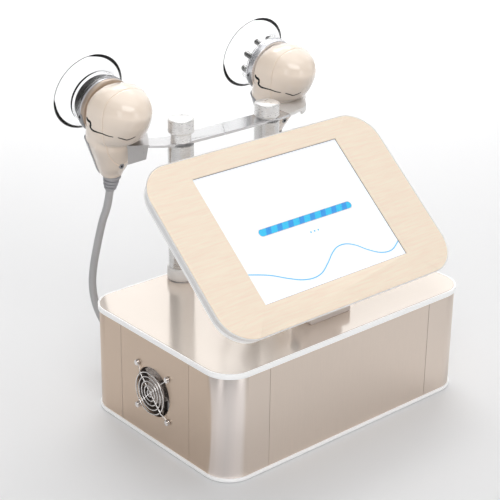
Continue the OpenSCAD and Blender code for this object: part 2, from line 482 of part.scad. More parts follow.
// a round tube whose rings stand square to the route
module tube(p, r, n = 10) {
  m = len(p);
  pts = [for (i = [0:m - 1]) let (t = tang(p, i), u = unit(cross(t, [0.2, 1, 0.1])), v = cross(t, u))
    for (k = [0:n - 1]) p[i] + r * (u * cos(360 * k / n) + v * sin(360 * k / n))];
  polyhedron(points = pts, faces = concat([[for (k = [0:n - 1]) k]], [[for (k = [n - 1:-1:0]) (m - 1) * n + k]],
    [for (i = [0:m - 2], k = [0:n - 1]) let (l = (k + 1) % n) each [[i * n + k, (i + 1) * n + k, (i + 1) * n + l],
      [i * n + k, (i + 1) * n + l, i * n + l]]]));
}
module hose_upper() rig() color([0.66, 0.66, 0.66]) tube(route_a, hose_r);
module hose_tail() rig() color([0.66, 0.66, 0.66]) tube(route_b, hose_r);
module hose_coil() rig() color([0.66, 0.66, 0.66]) translate([coil_c[0], coil_c[1], 0]) rotate_extrude($fn = 96)
  polygon([[coil_r - 8.8, 1], [coil_r - 7.8, 0], [coil_r + 7.8, 0], [coil_r + 8.8, 1], [coil_r + 8.8, 16.6], [coil_r + 7.8, 17.6],
    [coil_r - 7.8, 17.6], [coil_r - 8.8, 16.6]]);
module hose_plug() rig() color([0.55, 0.55, 0.57]) translate([sock_x[1], 0, sock_z]) rotate([-90, 0, 0])
  rotate_extrude() polygon([[0, hd - 10], [5.9, hd - 10], [5.9, hd + 3.1], [9, hd + 3.1], [9.4, hd + 5], [9.4, hd + 20], [8.4, hd + 21.5],
    [7.4, 140], [5.2, 152], [0, 152]]);

rubber_feet();
bottom_tray();
front_panel();
rear_panel();
left_panel();
right_panel();
corner_panels();
top_rim();
top_plate();
fan_frame();
fan_rotor();
fan_guard();
fan_screws();
power_supply();
generator_board();
control_board();
vacuum_pump();
power_inlet();
power_switch();
hose_sockets();
poles();
pole_collars();
clamp_studs();
crossbar_left();
crossbar_right();
cradle_left();
cradle_right();
knob_left();
knob_right();
tablet_back();
tablet_band();
tablet_frame();
tablet_face();
lcd_panel();
touch_glass();
tablet_board();
hinge_bracket();
hinge_base();
hinge_shaft();
cup_left();
cup_right();
transducer();
electrode_head();
nose_ring_left();
nose_ring_right();
head_shell_left();
head_shell_right();
front_cover_left();
front_cover_right();
seam_seal_left();
seam_seal_right();
grip_panel_left();
grip_panel_right();
neck_ring_left();
neck_ring_right();
strain_relief();
hose_upper();
hose_coil();
hose_tail();
hose_plug();
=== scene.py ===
import json
import math
import bpy
import bmesh
from mathutils import Matrix, Vector


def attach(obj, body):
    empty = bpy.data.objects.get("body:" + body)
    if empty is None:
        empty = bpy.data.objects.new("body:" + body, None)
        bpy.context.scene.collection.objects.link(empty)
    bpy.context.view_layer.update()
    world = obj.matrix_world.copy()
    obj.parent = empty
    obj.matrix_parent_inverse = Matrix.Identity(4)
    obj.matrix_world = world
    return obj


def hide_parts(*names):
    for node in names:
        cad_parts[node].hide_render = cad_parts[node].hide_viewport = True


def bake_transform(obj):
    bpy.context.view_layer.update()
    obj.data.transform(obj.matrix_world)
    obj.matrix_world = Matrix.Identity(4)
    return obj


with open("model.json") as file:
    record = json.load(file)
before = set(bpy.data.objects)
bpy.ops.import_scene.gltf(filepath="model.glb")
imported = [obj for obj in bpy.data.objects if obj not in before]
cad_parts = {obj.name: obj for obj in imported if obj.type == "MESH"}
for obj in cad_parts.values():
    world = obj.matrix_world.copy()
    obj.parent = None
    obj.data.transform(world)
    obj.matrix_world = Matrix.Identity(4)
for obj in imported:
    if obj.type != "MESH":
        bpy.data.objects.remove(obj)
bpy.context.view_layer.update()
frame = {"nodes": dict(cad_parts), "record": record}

nodes = frame["nodes"]
BASE_Y = -0.0443   # the housing's middle lies this far in front of the origin


def P(x, y, z):
    """Housing coordinates in mm (y measured from the housing's middle) to the frame in metres."""
    return Vector((x / 1000, y / 1000 + BASE_Y, z / 1000))


# ------------------------------------------------------------------ camera
cam_data = bpy.data.cameras.new("camera")
cam_data.lens = 106.2
cam_data.sensor_width = 36.0
cam_data.sensor_fit = "HORIZONTAL"
cam_data.clip_start, cam_data.clip_end = 0.05, 60
cam = bpy.data.objects.new("camera", cam_data)
bpy.context.scene.collection.objects.link(cam)
right, up, back = Vector((0.7575, -0.652711, 0.012775)), Vector((0.254322, 0.313062, 0.915048)), Vector((-0.601261, -0.689899, 0.403143))
m = Matrix((right, up, back)).transposed().to_4x4()
m.translation = P(-979.0, -1072.9, 813.6)
cam.matrix_world = m
bpy.context.scene.camera = cam


# ------------------------------------------------------------------ materials
def node_material(name, color, rough=0.4, metal=0.0, coat=0.0, coat_rough=0.03, scale=(900, 900, 900), rough_var=0.05,
                  bump=0.03, tint=0.0, detail=3.0, spec=0.5, alpha=1.0, trans=0.0, ior=1.5, emit=None, emit_strength=0.0,
                  aniso=0.0, bump_dist=0.0002, rotate=(0, 0, 0)):
    """A principled material whose roughness, tint and relief come from procedural noise, stretched by scale."""
    mat = bpy.data.materials.new(name)
    mat.use_nodes = True
    t = mat.node_tree
    b = t.nodes["Principled BSDF"]
    b.inputs["Base Color"].default_value = (*color, 1)
    b.inputs["Metallic"].default_value = metal
    b.inputs["Roughness"].default_value = rough
    b.inputs["Coat Weight"].default_value = coat
    b.inputs["Coat Roughness"].default_value = coat_rough
    b.inputs["Specular IOR Level"].default_value = spec
    b.inputs["Alpha"].default_value = alpha
    b.inputs["Transmission Weight"].default_value = trans
    b.inputs["IOR"].default_value = ior
    b.inputs["Anisotropic"].default_value = aniso
    if emit:
        b.inputs["Emission Color"].default_value = (*emit, 1)
        b.inputs["Emission Strength"].default_value = emit_strength
    coord = t.nodes.new("ShaderNodeTexCoord")
    mapping = t.nodes.new("ShaderNodeMapping")
    mapping.inputs["Rotation"].default_value = rotate
    t.links.new(coord.outputs["Object"], mapping.inputs["Vector"])
    stretch = t.nodes.new("ShaderNodeVectorMath")
    stretch.operation = "MULTIPLY"
    stretch.inputs[1].default_value = scale
    t.links.new(mapping.outputs["Vector"], stretch.inputs[0])
    noise = t.nodes.new("ShaderNodeTexNoise")
    noise.inputs["Scale"].default_value = 1.0
    noise.inputs["Detail"].default_value = detail
    noise.inputs["Roughness"].default_value = 0.6
    t.links.new(stretch.outputs["Vector"], noise.inputs["Vector"])
    if rough_var:
        r = t.nodes.new("ShaderNodeMapRange")
        r.inputs["From Min"].default_value, r.inputs["From Max"].default_value = 0.3, 0.7
        r.inputs["To Min"].default_value, r.inputs["To Max"].default_value = max(rough - rough_var, 0.0), min(rough + rough_var, 1.0)
        t.links.new(noise.outputs["Fac"], r.inputs["Value"])
        t.links.new(r.outputs["Result"], b.inputs["Roughness"])
    if tint:
        mix = t.nodes.new("ShaderNodeMix")
        mix.data_type = "RGBA"
        mix.inputs["A"].default_value = (*[c * (1 - tint) for c in color], 1)
        mix.inputs["B"].default_value = (*[min(c * (1 + tint), 1.0) for c in color], 1)
        k = t.nodes.new("ShaderNodeMapRange")
        k.inputs["From Min"].default_value, k.inputs["From Max"].default_value = 0.3, 0.7
        t.links.new(noise.outputs["Fac"], k.inputs["Value"])
        t.links.new(k.outputs["Result"], mix.inputs["Factor"])
        t.links.new(mix.outputs["Result"], b.inputs["Base Color"])
    if bump:
        bn = t.nodes.new("ShaderNodeBump")
        bn.inputs["Strength"].default_value = bump
        bn.inputs["Distance"].default_value = bump_dist
        t.links.new(noise.outputs["Fac"], bn.inputs["Height"])
        t.links.new(bn.outputs["Normal"], b.inputs["Normal"])
    return mat


TILT = math.radians(40.2)
M = {
    "housing": node_material("housing", (0.78, 0.675, 0.59), rough=0.34, metal=0.9, scale=(900, 900, 60), rough_var=0.04, bump=0.04, tint=0.015),
    # housing_left_painted_shade: a darker, browner copy of the housing metal for the left wall, painted shade
    "housing_left_painted_shade": node_material("housing_left_painted_shade", (0.66, 0.53, 0.425), rough=0.34, metal=0.92, scale=(900, 900, 60), rough_var=0.04, bump=0.04, tint=0.015),
    "housing_corner_painted_light": node_material("housing_corner_painted_light", (0.78, 0.68, 0.60), rough=0.30, metal=0.92, scale=(900, 900, 60), rough_var=0.01, bump=0.006),
    "plate": node_material("plate", (0.93, 0.84, 0.76), rough=0.13, metal=0.5, scale=(40, 900, 40), rough_var=0.015, bump=0.01, tint=0.01),
    # white_trim glows slightly, painted light that brightens the white trims
    "white_trim": node_material("white_trim", (0.985, 0.985, 0.985), rough=0.3, coat=0.4, scale=(500, 500, 500), rough_var=0.04, bump=0.01,
                               emit=(1, 1, 1), emit_strength=0.13),
    "rubber": node_material("rubber", (0.02, 0.02, 0.02), rough=0.8, scale=(1500, 1500, 1500), rough_var=0.1, bump=0.3),
    "black_plastic": node_material("black_plastic", (0.022, 0.022, 0.024), rough=0.5, scale=(1800, 1800, 1800), rough_var=0.1, bump=0.25),
    "fan_dark": node_material("fan_dark", (0.10, 0.08, 0.07), rough=0.3, coat=0.4, scale=(900, 900, 900), rough_var=0.08, bump=0.1),
    "fan_blade": node_material("fan_blade", (0.42, 0.37, 0.34), rough=0.3, metal=0.75, scale=(500, 500, 500), rough_var=0.08, bump=0.05, tint=0.06),
    "chrome": node_material("chrome", (0.82, 0.80, 0.79), rough=0.10, metal=1.0, scale=(600, 600, 600), rough_var=0.03, bump=0.01),
    "zinc": node_material("zinc", (0.50, 0.51, 0.53), rough=0.35, metal=1.0, scale=(300, 300, 300), rough_var=0.1, bump=0.05, tint=0.08),
    "board": node_material("board", (0.02, 0.16, 0.08), rough=0.35, scale=(400, 400, 400), rough_var=0.1, bump=0.1, tint=0.2),
    "steel": node_material("steel", (0.70, 0.69, 0.68), rough=0.25, metal=1.0, scale=(60, 60, 2600), rough_var=0.07, bump=0.10, tint=0.05),
    "knob": node_material("knob", (0.93, 0.92, 0.91), rough=0.3, metal=0.7, scale=(200, 200, 1800), rough_var=0.05, bump=0.05, tint=0.03),
    "bar": node_material("bar", (0.74, 0.74, 0.75), rough=0.2, metal=0.7, scale=(40, 900, 900), rough_var=0.03, bump=0.02),
    "cradle": node_material("cradle", (0.90, 0.88, 0.86), rough=0.32, metal=0.25, scale=(900, 900, 200), rough_var=0.05, bump=0.04),
    "band": node_material("band", (0.88, 0.885, 0.895), rough=0.35, metal=0.2, scale=(60, 900, 900), rough_var=0.05, bump=0.03),
    # the face glows slightly, painted light that brightens it
    "face": node_material("face", (0.995, 0.825, 0.67), rough=0.45, metal=0.0, scale=(38, 520, 520), rough_var=0.08, bump=0.4, tint=0.06,
                          detail=6.0, rotate=(-TILT, 0, 0), bump_dist=0.0003,
                          emit=(1.0, 0.84, 0.68), emit_strength=0.07),
    "display": node_material("display", (0.88, 0.91, 0.95), rough=0.1, scale=(300, 300, 300), rough_var=0.02, bump=0.0,
                             emit=(0.93, 0.96, 1.0), emit_strength=0.30),
    # dark grey of the painted shadow round the screen window
    "recess_shadow_paint": node_material("recess_shadow_paint", (0.28, 0.29, 0.33), rough=0.5, scale=(800, 800, 800), rough_var=0.05, bump=0.05),
    "hinge": node_material("hinge", (0.94, 0.87, 0.83), rough=0.35, metal=0.1, scale=(60, 900, 900), rough_var=0.05, bump=0.03),
    "transducer": node_material("transducer", (0.055, 0.052, 0.05), rough=0.55, metal=0.0, spec=0.3, scale=(420, 160, 420), rough_var=0.12, bump=1.0, tint=0.7, bump_dist=0.0006),
    "pins": node_material("pins", (0.30, 0.295, 0.29), rough=0.18, metal=1.0, scale=(600, 600, 600), rough_var=0.04, bump=0.03),
    "collar": node_material("collar", (0.98, 0.96, 0.94), rough=0.3, metal=0.0, scale=(500, 500, 1500), rough_var=0.05, bump=0.04),
    "nose": node_material("nose", (0.52, 0.42, 0.34), rough=0.32, metal=0.35, coat=0.3, scale=(500, 500, 500), rough_var=0.05, bump=0.03),
    "nose_line": node_material("nose_line", (0.16, 0.10, 0.06), rough=0.4, scale=(500, 500, 500), rough_var=0.05, bump=0.03),
    "lip": node_material("lip", (0.80, 0.79, 0.83), rough=0.22, metal=0.5, scale=(500, 500, 500), rough_var=0.05, bump=0.02),
    "lip_steel": node_material("lip_steel", (0.84, 0.84, 0.87), rough=0.25, metal=0.8, scale=(500, 2000, 500), rough_var=0.06, bump=0.04, tint=0.04),
    # the shells glow slightly, painted light that brightens them
    "shell": node_material("shell", (0.99, 0.85, 0.72), rough=0.22, coat=1.0, coat_rough=0.05, scale=(260, 260, 260), rough_var=0.03, bump=0.015,
                           emit=(1.0, 0.86, 0.72), emit_strength=0.06,
                           tint=0.01),
    "seal": node_material("seal", (0.008, 0.008, 0.009), rough=0.6, scale=(900, 900, 900), rough_var=0.1, bump=0.1, spec=0.2),
    "strip": node_material("strip", (0.30, 0.31, 0.33), rough=0.25, coat=0.6, scale=(500, 500, 500), rough_var=0.05, bump=0.02),
    "hose": node_material("hose", (0.50, 0.50, 0.51), rough=0.42, scale=(700, 700, 700), rough_var=0.07, bump=0.08),
    "cradle_dark": node_material("cradle_dark", (0.50, 0.485, 0.48), rough=0.32, metal=0.8, scale=(900, 900, 200), rough_var=0.05, bump=0.04),
    "relief": node_material("relief", (0.40, 0.40, 0.42), rough=0.42, scale=(900, 900, 900), rough_var=0.07, bump=0.08),
    "clear": node_material("clear", (0.975, 0.98, 0.985), rough=0.0, trans=1.0, ior=1.24, spec=0.6, scale=(40, 40, 40), rough_var=0.0, bump=0.01,
                           bump_dist=0.0005),
    # black for the right nose ring's groove, and for the dark beads in the cups, which are painted refraction
    "groove_black_and_painted_refraction": node_material("groove_black_and_painted_refraction", (0.006, 0.006, 0.007), rough=0.12, scale=(400, 400, 400), rough_var=0.02, bump=0.01, spec=0.3),
    "ui_bar": node_material("ui_bar", (0.05, 0.50, 0.80), rough=0.3, scale=(300, 300, 300), bump=0, emit=(0.05, 0.55, 0.88), emit_strength=0.3),
    "ui_stripe": node_material("ui_stripe", (0.05, 0.30, 0.72), rough=0.3, scale=(300, 300, 300), bump=0, emit=(0.05, 0.33, 0.78), emit_strength=0.3),
    "ui_line": node_material("ui_line", (0.16, 0.50, 0.80), rough=0.3, scale=(300, 300, 300), bump=0, emit=(0.2, 0.55, 0.85), emit_strength=0.3),
    "ui_edge": node_material("ui_edge", (0.75, 0.62, 0.58), rough=0.3, scale=(300, 300, 300), bump=0, emit=(0.8, 0.65, 0.6), emit_strength=0.2),
}
# painted light on the corner panels: their colour follows the surface normal, lighter in bands round the front corner
# as painted highlights, and darker and browner where they face left, as the left wall's painted shade
ct = M["housing_corner_painted_light"].node_tree
cb = ct.nodes["Principled BSDF"]
c_coord = ct.nodes.new("ShaderNodeTexCoord")
c_sep = ct.nodes.new("ShaderNodeSeparateXYZ")
ct.links.new(c_coord.outputs["Normal"], c_sep.inputs["Vector"])
c_neg = ct.nodes.new("ShaderNodeMath")
c_neg.operation = "MULTIPLY"
c_neg.inputs[1].default_value = -1.0
ct.links.new(c_sep.outputs["X"], c_neg.inputs[0])
c_rear = ct.nodes.new("ShaderNodeMath")
c_rear.operation = "GREATER_THAN"
c_rear.inputs[1].default_value = 0.05
ct.links.new(c_sep.outputs["Y"], c_rear.inputs[0])
c_left = ct.nodes.new("ShaderNodeMath")
c_left.operation = "LESS_THAN"
c_left.inputs[1].default_value = -0.02
ct.links.new(c_sep.outputs["X"], c_left.inputs[0])
c_back = ct.nodes.new("ShaderNodeMath")
c_back.operation = "MULTIPLY"
ct.links.new(c_rear.outputs["Value"], c_back.inputs[0])
ct.links.new(c_left.outputs["Value"], c_back.inputs[1])
c_max = ct.nodes.new("ShaderNodeMath")
c_max.operation = "MAXIMUM"
ct.links.new(c_neg.outputs["Value"], c_max.inputs[0])
ct.links.new(c_back.outputs["Value"], c_max.inputs[1])
ramp = ct.nodes.new("ShaderNodeValToRGB")
painted_light_stops = [(0.0, (0.77, 0.67, 0.59)), (0.12, (0.77, 0.67, 0.59)), (0.30, (0.91, 0.83, 0.78)), (0.46, (0.90, 0.82, 0.775)), (0.70, (0.80, 0.735, 0.70)),
         (0.88, (0.86, 0.78, 0.735)), (0.955, (0.83, 0.745, 0.69)), (0.975, (0.66, 0.53, 0.425)), (1.0, (0.66, 0.53, 0.425))]
while len(ramp.color_ramp.elements) < len(painted_light_stops):
    ramp.color_ramp.elements.new(0.5)
for e, (pos, col) in zip(ramp.color_ramp.elements, painted_light_stops):
    e.position = pos
    e.color = (*col, 1)
ct.links.new(c_max.outputs["Value"], ramp.inputs["Fac"])
ct.links.new(ramp.outputs["Color"], cb.inputs["Base Color"])
# painted shade: the shells turn darker and browner where they face down
st = M["shell"].node_tree
sb = st.nodes["Principled BSDF"]
s_geo = st.nodes.new("ShaderNodeNewGeometry")
s_sep = st.nodes.new("ShaderNodeSeparateXYZ")
st.links.new(s_geo.outputs["Normal"], s_sep.inputs["Vector"])
s_map = st.nodes.new("ShaderNodeMapRange")
s_map.inputs["From Min"].default_value, s_map.inputs["From Max"].default_value = 0.02, -0.55
st.links.new(s_sep.outputs["Z"], s_map.inputs["Value"])
shell_painted_shade_mix = st.nodes.new("ShaderNodeMix")
shell_painted_shade_mix.data_type = "RGBA"
shell_painted_shade_mix.inputs["A"].default_value = (*sb.inputs["Base Color"].default_value[:3], 1)
shell_painted_shade_mix.inputs["B"].default_value = (0.60, 0.525, 0.46, 1)
st.links.new(s_map.outputs["Result"], shell_painted_shade_mix.inputs["Factor"])
st.links.new(shell_painted_shade_mix.outputs["Result"], sb.inputs["Base Color"])
SLOT_MAT = {"housing": "housing", "white_trim": "white_trim", "plate": "plate", "rubber": "rubber", "black_plastic": "black_plastic",
            "chrome": "chrome", "zinc": "zinc", "board": "board", "steel": "steel", "bar": "bar", "cradle": "cradle", "band": "band",
            "face": "face", "display": "display", "hinge": "hinge", "clear": "clear", "transducer": "transducer", "nose": "nose",
            "shell": "shell", "seal": "seal", "strip": "strip", "hose": "hose"}
slot_of = {s["node"]: s["material_slot"] for s in frame["record"]["subparts"]}
for n, o in nodes.items():
    mat = M[SLOT_MAT[slot_of[n]]]
    if n == "fan_rotor":
        mat = M["fan_blade"]
    if n == "fan_frame":
        mat = M["fan_dark"]
    if n in ("neck_ring_left", "neck_ring_right"):
        mat = M["relief"]
    if n in ("left_panel", "corner_panels", "electrode_head", "pole_collars"):
        mat = M[{"left_panel": "housing_left_painted_shade", "corner_panels": "housing_corner_painted_light", "electrode_head": "pins", "pole_collars": "collar"}[n]]
    if n == "cradle_left":
        mat = M["cradle_dark"]
    for i in range(len(o.material_slots)):
        o.material_slots[i].material = mat


# ------------------------------------------------------------------ mesh helpers
def add_mesh(name, verts, faces, mat, body, smooth=35.0):
    """A piece from vertices in the frame (metres) and faces, shaded smooth where its faces meet at less than the angle."""
    me = bpy.data.meshes.new(name)
    me.from_pydata([tuple(v) for v in verts], [], [tuple(f) for f in faces])
    bm = bmesh.new()
    bm.from_mesh(me)
    bmesh.ops.remove_doubles(bm, verts=bm.verts, dist=1e-7)
    bmesh.ops.recalc_face_normals(bm, faces=bm.faces)
    bm.to_mesh(me)
    bm.free()
    me.materials.append(mat)
    me.shade_smooth()
    if smooth is not None:
        me.set_sharp_from_angle(angle=math.radians(smooth))
    o = bpy.data.objects.new(name, me)
    bpy.context.scene.collection.objects.link(o)
    if body:
        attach(o, body)
    return o


def grid_solid(rings, close_ends=True):
    """Vertices and faces of a solid from rings of equal size; a ring of one repeated point makes a pole."""
    n = len(rings[0])
    verts = [p for r in rings for p in r]
    faces = []
    for i in range(len(rings) - 1):
        for k in range(n):
            l = (k + 1) % n
            faces.append((i * n + k, i * n + l, (i + 1) * n + l, (i + 1) * n + k))
    if close_ends:
        faces.append(tuple(reversed(range(n))))
        faces.append(tuple((len(rings) - 1) * n + k for k in range(n)))
    return verts, faces


def lathe(profile, place, n=96):
    """Closed profile [(distance along the axis, radius)] turned round the axis; place(x, y, z) gives frame points, axis along y."""
    rings = []
    for k in range(n):
        c, s = math.cos(2 * math.pi * k / n), math.sin(2 * math.pi * k / n)
        rings.append([place(r * c, y, r * s) for y, r in profile])
    m = len(profile)
    verts = [p for r in rings for p in r]
    faces = [(k * m + i, k * m + (i + 1) % m, ((k + 1) % n) * m + (i + 1) % m, ((k + 1) % n) * m + i) for k in range(n) for i in range(m)]
    return verts, faces


def tube(points, r, n=20, caps=True):
    """A round tube along points in the frame, with rings that don't twist."""
    pts = [Vector(p) for p in points]
    rings, u = [], None
    for i, p in enumerate(pts):
        t = (pts[min(i + 1, len(pts) - 1)] - pts[max(i - 1, 0)]).normalized()
        if u is None:
            u = t.orthogonal().normalized()
        u = (u - t * u.dot(t)).normalized()
        v = t.cross(u)
        rings.append([p + r * (u * math.cos(2 * math.pi * k / n) + v * math.sin(2 * math.pi * k / n)) for k in range(n)])
    return grid_solid(rings, caps)


def smooth_path(points, step):
    """Points along a centripetal Catmull-Rom curve through the given ones, about a step apart."""
    pts = [Vector(p) for p in points]
    out = []
    ext = [pts[0] * 2 - pts[1]] + pts + [pts[-1] * 2 - pts[-2]]
    for i in range(1, len(ext) - 2):
        p0, p1, p2, p3 = ext[i - 1], ext[i], ext[i + 1], ext[i + 2]
        t0 = 0.0
        t1 = t0 + max((p1 - p0).length, 1e-9) ** 0.5
        t2 = t1 + max((p2 - p1).length, 1e-9) ** 0.5
        t3 = t2 + max((p3 - p2).length, 1e-9) ** 0.5
        k = max(1, int(round((p2 - p1).length / step)))
        for j in range(k):
            t = t1 + (t2 - t1) * j / k
            a1 = p0 * ((t1 - t) / (t1 - t0)) + p1 * ((t - t0) / (t1 - t0))
            a2 = p1 * ((t2 - t) / (t2 - t1)) + p2 * ((t - t1) / (t2 - t1))
            a3 = p2 * ((t3 - t) / (t3 - t2)) + p3 * ((t - t2) / (t3 - t2))
            b1 = a1 * ((t2 - t) / (t2 - t0)) + a2 * ((t - t0) / (t2 - t0))
            b2 = a2 * ((t3 - t) / (t3 - t1)) + a3 * ((t - t1) / (t3 - t1))
            out.append(b1 * ((t2 - t) / (t2 - t1)) + b2 * ((t - t1) / (t2 - t1)))
    out.append(pts[-1])
    return out


# ------------------------------------------------------------------ hose
# the route repeats part.scad's points; the wound part is laid in its four turns
ROUTE_A = [(-112.3, 155.2, 224.6), (-112.3, 157.9, 212.9), (-112.3, 163, 198.3), (-112.3, 170, 184), (-112.3, 177, 165.5),
           (-112.3, 183, 147.5), (-112.3, 188.2, 131), (-112.3, 192.2, 115), (-112.2, 194.6, 99), (-111.6, 193.6, 82),
           (-109.8, 189.5, 66), (-106, 183.5, 51), (-100, 176.5, 37.5), (-91, 169, 25.5), (-79, 161.5, 15.5),
           (-65, 154, 8.6), (-50, 147.8, 5.2), (-36, 143.5, 4.4)]
ROUTE_B = [(30, 176, 13.2), (34, 190, 11.5), (38, 204, 9), (46, 217, 7.4), (58, 225.5, 7), (72, 226.5, 8), (85, 220.5, 10.8),
           (94, 209, 15), (98.6, 194, 19.6), (100, 178, 23.6), (100, 164, 25.7), (100, 152, 26)]
COIL = (-20, 190)


def coil_point(angle, r, z):
    a = math.radians(angle)
    return (COIL[0] + r * math.cos(a), COIL[1] + r * math.sin(a), z)


# four turns: outer and inner one below, then inner and outer one above
turns = []
a0 = -109.0
R_OUT, R_IN, Z1, Z2 = 52.9, 44.1, 4.4, 13.3
for i in range(14):                      # outer lower turn
    turns.append(coil_point(a0 + i * 24, R_OUT - (0.6 if i == 0 else 0), Z1))
start = a0 + 14 * 24
for i in range(15):                      # runs in to the inner lower turn
    f = min(i / 2.0, 1.0)
    turns.append(coil_point(start + i * 24, R_OUT - f * (R_OUT - R_IN), Z1))
start += 15 * 24
for i in range(15):                      # climbs to the inner upper turn
    f = min(i / 2.0, 1.0)
    turns.append(coil_point(start + i * 24, R_IN, Z1 + f * (Z2 - Z1)))
start += 15 * 24
end_angle = 0
k = 0
while start + k * 24 < a0 + 4 * 360 + 78:   # out to the outer upper turn, up to where the tail leaves it
    f = min(k / 2.0, 1.0)
    turns.append(coil_point(start + k * 24, R_IN + f * (R_OUT - R_IN), Z2))
    k += 1

hose_pts = smooth_path([P(*p) for p in ROUTE_A + turns + ROUTE_B], 0.004)
hv, hf = tube(hose_pts, 0.0044, 20)
hose = add_mesh("hose", hv, hf, M["hose"], None, 60)
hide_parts("hose_upper", "hose_coil", "hose_tail")
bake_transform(hose)


# ------------------------------------------------------------------ edges of the CAD pieces
def soften(name, width, segments=2, angle=40):
    """Welds a CAD node's mesh and rounds its sharp edges, so that they catch the light."""
    o = nodes[name]
    w = o.modifiers.new("weld", "WELD")
    w.merge_threshold = 1e-6
    b = o.modifiers.new("bevel", "BEVEL")
    b.width = width
    b.segments = segments
    b.limit_method = "ANGLE"
    b.angle_limit = math.radians(angle)
    b.harden_normals = True
    return o


# ------------------------------------------------------------------ handpieces
LEAN = math.radians(13)
HEAD = {"left": (-112.3, 134.5, 314.2), "right": (125.7, 139.0, 314.0)}


def hand(side):
    cx, cy, cz = HEAD[side]
    c, s = math.cos(LEAN), math.sin(LEAN)
    return lambda x, y, z: P(cx + x, cy + y * c - z * s, cz + y * s + z * c)


# sections of the body: height, half width, reach to the front, reach to the back, squareness behind
BODY = [(36.9, 0.01, 0.01, 0.01, 2), (36.4, 5.2, 6.4, 2.4, 2), (34, 13, 19.5, 9, 2), (29.5, 22.6, 31.6, 18.5, 2.2), (22, 27.8, 38, 21.6, 3.4),
        (14, 29.8, 39.8, 21.8, 6), (5, 30.4, 38.8, 22, 9), (-5, 30.3, 36, 22, 9), (-11, 30, 33.4, 22, 7), (-14.8, 29.7, 31.2, 22, 5),
        (-15.8, 29.6, 30.5, 30.8, 3.6), (-19, 29.3, 27.8, 31, 3.3), (-22, 29, 24.4, 31, 3.1), (-25, 28.7, 20.1, 31, 3),
        (-32.6, 28, 19.2, 31, 3), (-38, 26.4, 18.2, 27.6, 3),
        (-46, 23.3, 16.4, 24, 3), (-55, 19.5, 14.3, 19.7, 3), (-62, 16.7, 12, 17.2, 3), (-67, 14.6, 9.6, 15, 3),
        (-70.5, 13, 8.8, 12.8, 2.6), (-72, 12, 8.6, 11, 2.3)]
PANEL = [(-32.6, 28.6, 18, 34.2, 3), (-38, 27, 17, 30.8, 3), (-46, 23.9, 15, 27.1, 3), (-55, 20.1, 13, 22.8, 3),
         (-62, 17.3, 11, 20.3, 3), (-67, 15.2, 9, 18.1, 3), (-71, 13.4, 8, 15.6, 3)]


def monotone(xs, ys):
    """Monotone cubic through the points, for increasing xs."""
    n = len(xs)
    h = [xs[i + 1] - xs[i] for i in range(n - 1)]
    d = [(ys[i + 1] - ys[i]) / h[i] for i in range(n - 1)]
    g = [d[0]] + [0.0] * (n - 2) + [d[-1]]
    for i in range(1, n - 1):
        if d[i - 1] * d[i] > 0:
            w1, w2 = 2 * h[i] + h[i - 1], h[i] + 2 * h[i - 1]
            g[i] = (w1 + w2) / (w1 / d[i - 1] + w2 / d[i])

    def f(x):
        x = min(max(x, xs[0]), xs[-1])
        i = 0
        while i < n - 2 and x > xs[i + 1]:
            i += 1
        t = (x - xs[i]) / h[i]
        return (ys[i] * (1 + 2 * t) * (1 - t) ** 2 + g[i] * h[i] * t * (1 - t) ** 2
                + ys[i + 1] * t * t * (3 - 2 * t) + g[i + 1] * h[i] * t * t * (t - 1))
    return f


def sections(rows):
    """Functions of the height that give the half width, reaches and squareness; squares are interpolated, which rounds the crown."""
    r = sorted(rows)
    z = [x[0] for x in r]
    fs = [monotone(z, [x[i] ** 2 for x in r]) for i in (1, 2, 3)] + [monotone(z, [x[4] for x in r])]
    return lambda h: (math.sqrt(max(fs[0](h), 0)), math.sqrt(max(fs[1](h), 0)), math.sqrt(max(fs[2](h), 0)), fs[3](h))


BODY_AT, PANEL_AT = sections(BODY), sections(PANEL)


def reach(at, phi, z):
    """Distance from the handle's axis to the surface, in direction phi at height z."""
    a, f, b, n = at(z)
    a, f, b = max(a, 1e-3), max(f, 1e-3), max(b, 1e-3)
    c, s = math.cos(phi), math.sin(phi)
    if s < 0:
        return 1 / math.sqrt((c / a) ** 2 + (s / f) ** 2)
    return 1 / ((abs(c) / a) ** n + (s / b) ** n) ** (1 / n)


def surf(phi, z, out=0.0, at=None):
    r = reach(at or BODY_AT, phi, z) + out
    return (r * math.cos(phi), r * math.sin(phi), z)


NB = 96
Z_ROWS = ([36.9, 36.75, 36.4, 35.8, 35, 34, 33] + [31.5 - 1.5 * i for i in range(31)] + [-14.4, -14.8, -15.1, -15.4, -15.8]
          + [-17 - 1.4 * i for i in range(12)] + [-34.5 - 2.5 * i for i in range(15)] + [-71, -72])
Z_ROWS = sorted(set(round(z, 3) for z in Z_ROWS), reverse=True)
PLANE0, SLOPE = -10.7, 0.08


def cut_seat(me):
    """Takes the round seat of the nose ring and the cup's neck out of the rear shell (in the handpiece's own mm)."""
    body = bpy.data.objects.new("seat_body", me)
    v, f = lathe([(22.1, 0.01), (22.1, 31.9), (48, 31.9), (48, 0.01)], lambda x, y, z: (x, y, z), 96)
    tool_mesh = bpy.data.meshes.new("seat_tool")
    tool_mesh.from_pydata(v, [], f)
    bm = bmesh.new()
    bm.from_mesh(tool_mesh)
    bmesh.ops.remove_doubles(bm, verts=bm.verts, dist=0.03)
    bmesh.ops.recalc_face_normals(bm, faces=bm.faces)
    bm.to_mesh(tool_mesh)
    bm.free()
    tool = bpy.data.objects.new("seat_tool", tool_mesh)
    for o in (body, tool):
        bpy.context.scene.collection.objects.link(o)
    mod = body.modifiers.new("seat", "BOOLEAN")
    mod.operation = "DIFFERENCE"
    mod.solver = "EXACT"
    mod.object = tool
    out = bpy.data.meshes.new_from_object(body.evaluated_get(bpy.context.evaluated_depsgraph_get()))
    bpy.data.objects.remove(body)
    bpy.data.objects.remove(tool)
    return out


